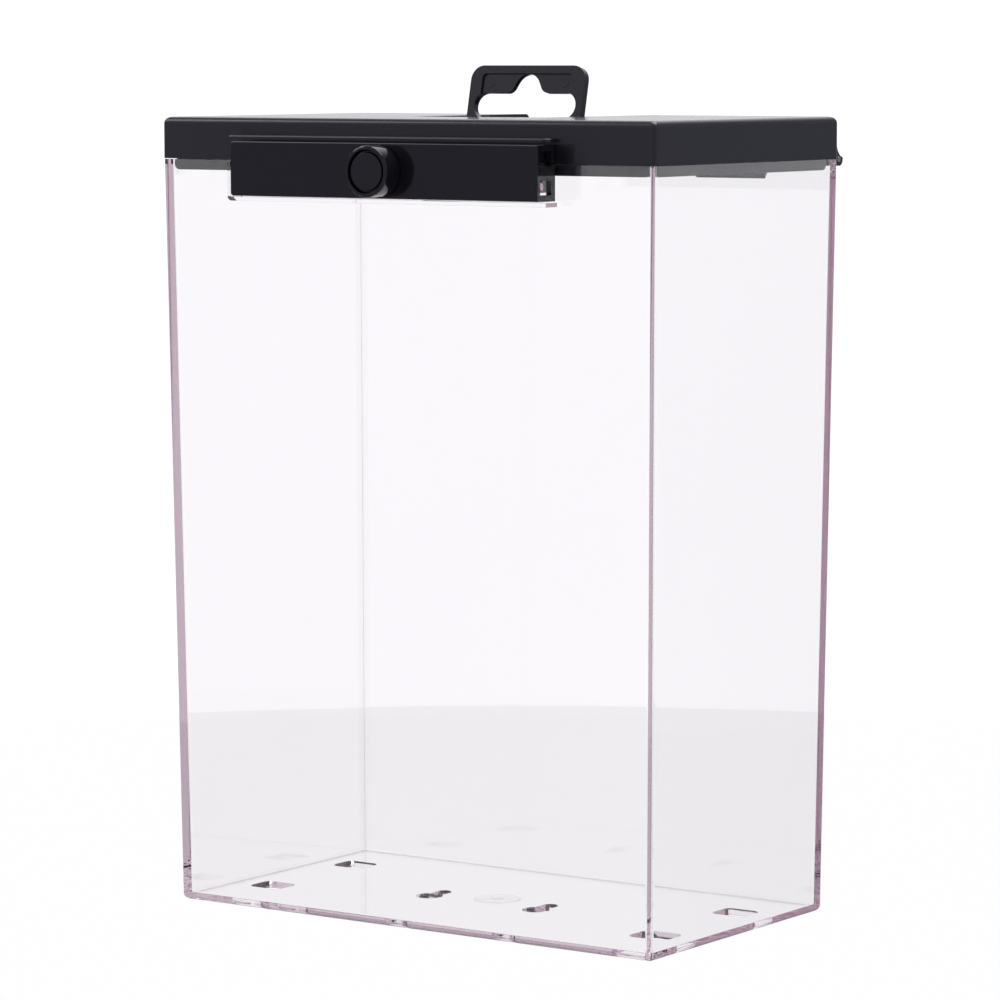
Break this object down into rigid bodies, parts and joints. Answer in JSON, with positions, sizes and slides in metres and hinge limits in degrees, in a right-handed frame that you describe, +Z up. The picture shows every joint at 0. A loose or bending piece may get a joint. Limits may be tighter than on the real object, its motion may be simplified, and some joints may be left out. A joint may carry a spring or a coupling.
{
  "type": "clear lockable collection box",
  "caption": "Clear plastic box with a hinged black lid, a sliding front lock bar with a round spring-plunger boss, and a folding euro-slot hang tab.",
  "frame": {"origin": "centre of the base's underside, on the surface that the box stands on", "axes": "+Z up, the front with the lock bar faces -Y, +X to the right seen from the front"},
  "size_m": [0.1536, 0.1046, 0.2205],
  "materials": {
    "clear_plastic": "clear gloss",
    "satin_black_plastic": "satin, fine grain",
    "gloss_black_plastic": "semi-gloss",
    "steel": "drawn wire"
  },
  "bodies": {
    "box": {"clear_box": "clear_plastic", "hinge_pin": "steel"},
    "lid": {"lid": "satin_black_plastic", "tab_axle": "steel"},
    "tab": {"hang_tab": "satin_black_plastic"},
    "slider": {"lock_bar": "gloss_black_plastic", "lock_housing": "gloss_black_plastic", "lock_cap": "gloss_black_plastic", "plunger_spring": "steel"},
    "plunger": {"plunger": "steel"}
  },
  "joints": [
    {"name": "lid_hinge", "type": "hinge", "parent": "box", "child": "lid", "pos_m": [0, 0.0451, 0.19625], "axis": [-1, 0, 0], "range_deg": [0, 190]},
    {"name": "bar_slide", "type": "slide", "parent": "lid", "child": "slider", "axis": [1, 0, 0], "range_m": [0, 0.012]},
    {"name": "plunger_slide", "type": "slide", "parent": "slider", "child": "plunger", "axis": [0, -1, 0], "range_m": [0, 0.0012], "stiffness_N_per_m": 300, "springref_m": -0.002, "deforming": ["plunger_spring"]},
    {"name": "tab_hinge", "type": "hinge", "parent": "lid", "child": "tab", "pos_m": [0, 0.01185, 0.2049], "axis": [-1, 0, 0], "range_deg": [-12, 78]}
  ]
}
